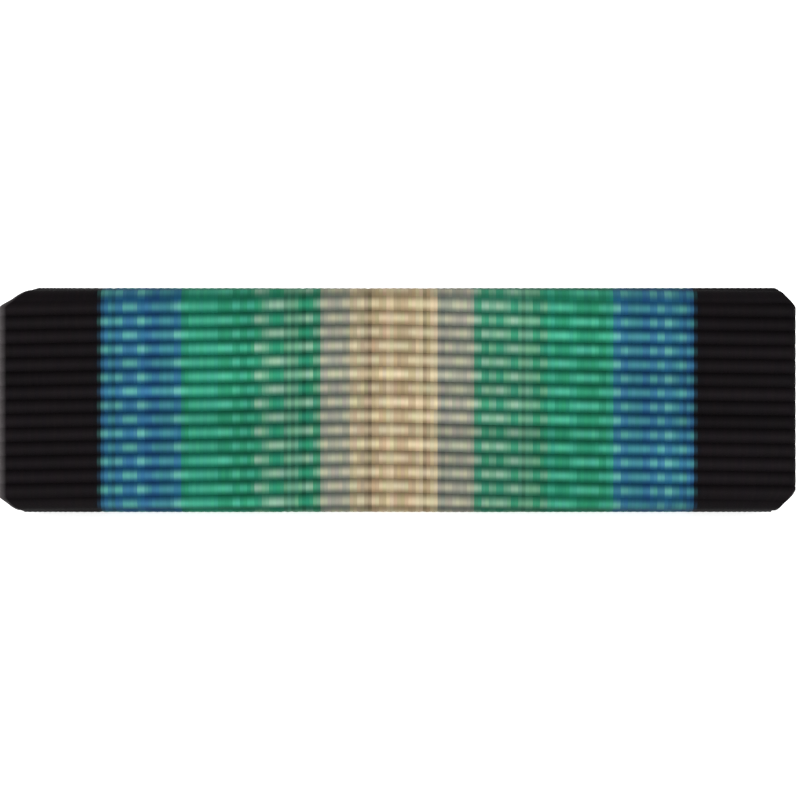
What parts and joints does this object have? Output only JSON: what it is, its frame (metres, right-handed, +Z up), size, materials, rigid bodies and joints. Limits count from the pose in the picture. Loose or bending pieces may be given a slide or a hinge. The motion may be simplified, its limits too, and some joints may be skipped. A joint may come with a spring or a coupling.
{
  "type": "ribbon bar",
  "caption": "Striped, ribbed woven ribbon wrapped round a folded brass clip, held on a flat bar with two pointed posts; pinned to clothing to show an award.",
  "frame": {"origin": "on the surface that the bar stands on, below the centre of its bounding box", "axes": "+X along the bar, to the right as its face is seen; +Z up; the face looks towards -Y and up, and the posts point back towards +Y and down"},
  "size_m": [0.0348, 0.0108, 0.0096],
  "materials": {
    "ribbon_cloth": "warp-faced ribbed weave, striped black, teal, green and cream, with a soft sheen along the ribs",
    "clip_brass": "thin rolled strip, satin, a little dulled",
    "post_brass": "satin strip with drawn, polished posts"
  },
  "bodies": {
    "root": {"ribbon": "ribbon_cloth", "clip": "clip_brass", "post_bar": "post_brass"}
  },
  "joints": []
}
